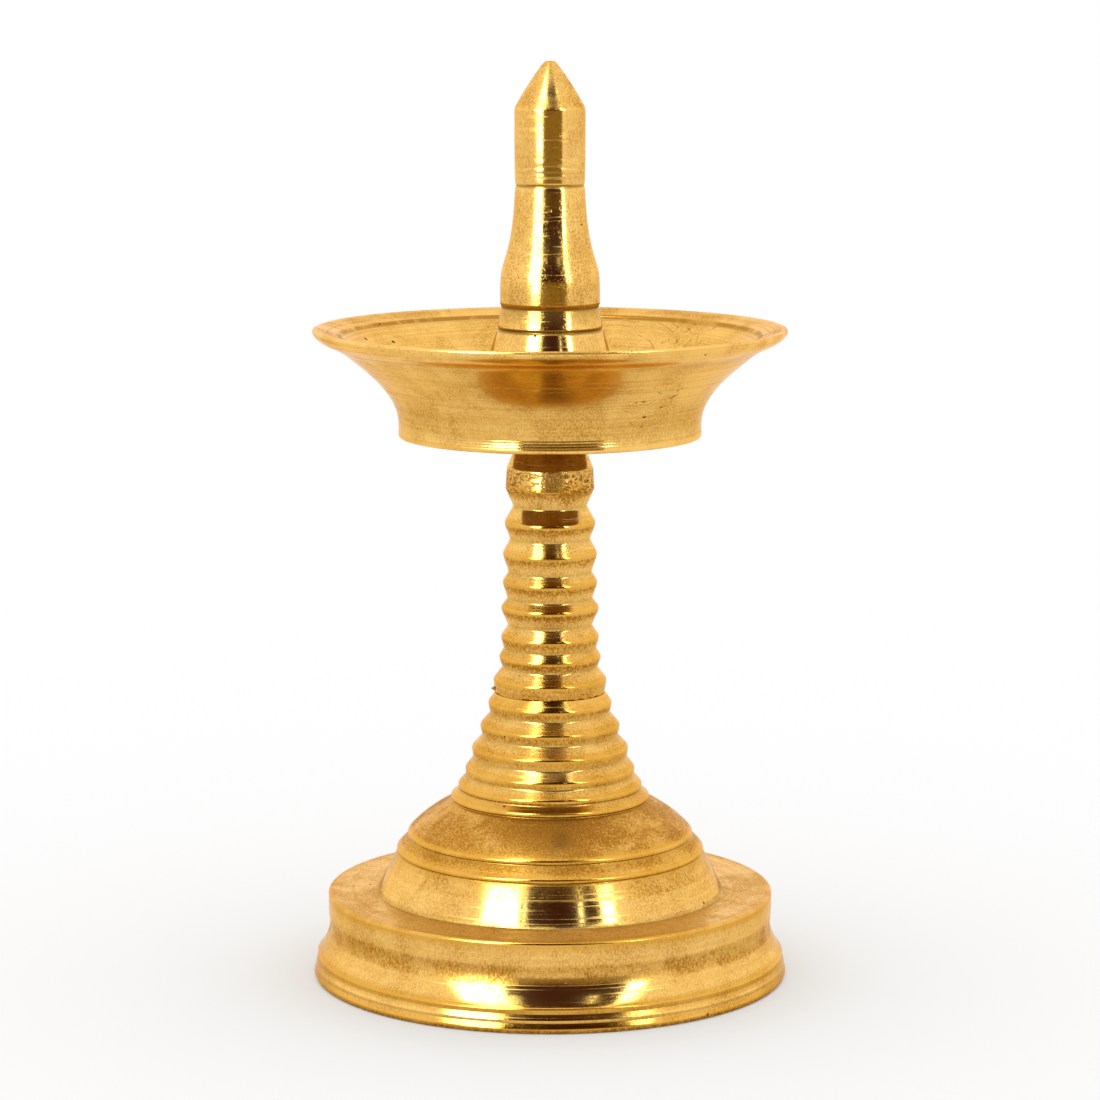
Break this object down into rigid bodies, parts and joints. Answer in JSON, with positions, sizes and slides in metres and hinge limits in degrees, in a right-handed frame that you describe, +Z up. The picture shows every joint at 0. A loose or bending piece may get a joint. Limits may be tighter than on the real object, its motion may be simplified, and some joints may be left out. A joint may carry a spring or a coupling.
{
  "type": "oil lamp",
  "caption": "Small turned brass oil lamp: a domed hollow foot, a ribbed stem, a shallow flared oil bowl and a pointed central spire, screwed together on a common axis.",
  "frame": {"origin": "centre of the foot's underside, on the table", "axes": "+Z up along the lamp's axis, -Y towards the camera of the picture, +X to its right"},
  "size_m": [0.0786, 0.0786, 0.1508],
  "materials": {
    "turned_brass": "cast brass, turned and buffed bright, with fine tool lines and some brown tarnish",
    "stud_brass": "threaded brass rod, dull"
  },
  "bodies": {
    "base": {"base": "turned_brass"},
    "lower_stud": {"lower_stud": "stud_brass"},
    "stem": {"stem": "turned_brass"},
    "oil_bowl": {"oil_bowl": "turned_brass"},
    "upper_stud": {"upper_stud": "stud_brass"},
    "spire": {"spire": "turned_brass"}
  },
  "joints": [
    {"name": "stem_rise", "type": "slide", "parent": "base", "child": "lower_stud", "axis": [0, 0, 1], "range_m": [0, 0.009]},
    {"name": "stem_turn", "type": "hinge", "parent": "lower_stud", "child": "stem", "pos_m": [0, 0, 0.04735], "axis": [0, 0, 1], "range_deg": [0, 3240]},
    {"name": "bowl_lift", "type": "slide", "parent": "stem", "child": "oil_bowl", "axis": [0, 0, 1], "range_m": [0, 0.03]},
    {"name": "spire_rise", "type": "slide", "parent": "oil_bowl", "child": "upper_stud", "axis": [0, 0, 1], "range_m": [0, 0.009]},
    {"name": "spire_turn", "type": "hinge", "parent": "upper_stud", "child": "spire", "pos_m": [0, 0, 0.0931], "axis": [0, 0, 1], "range_deg": [0, 3240]}
  ],
  "couplings": [
    {"joint": "stem_rise", "follows": "stem_turn", "m_per_rad": 0.00015915},
    {"joint": "spire_rise", "follows": "spire_turn", "m_per_rad": 0.00015915}
  ]
}
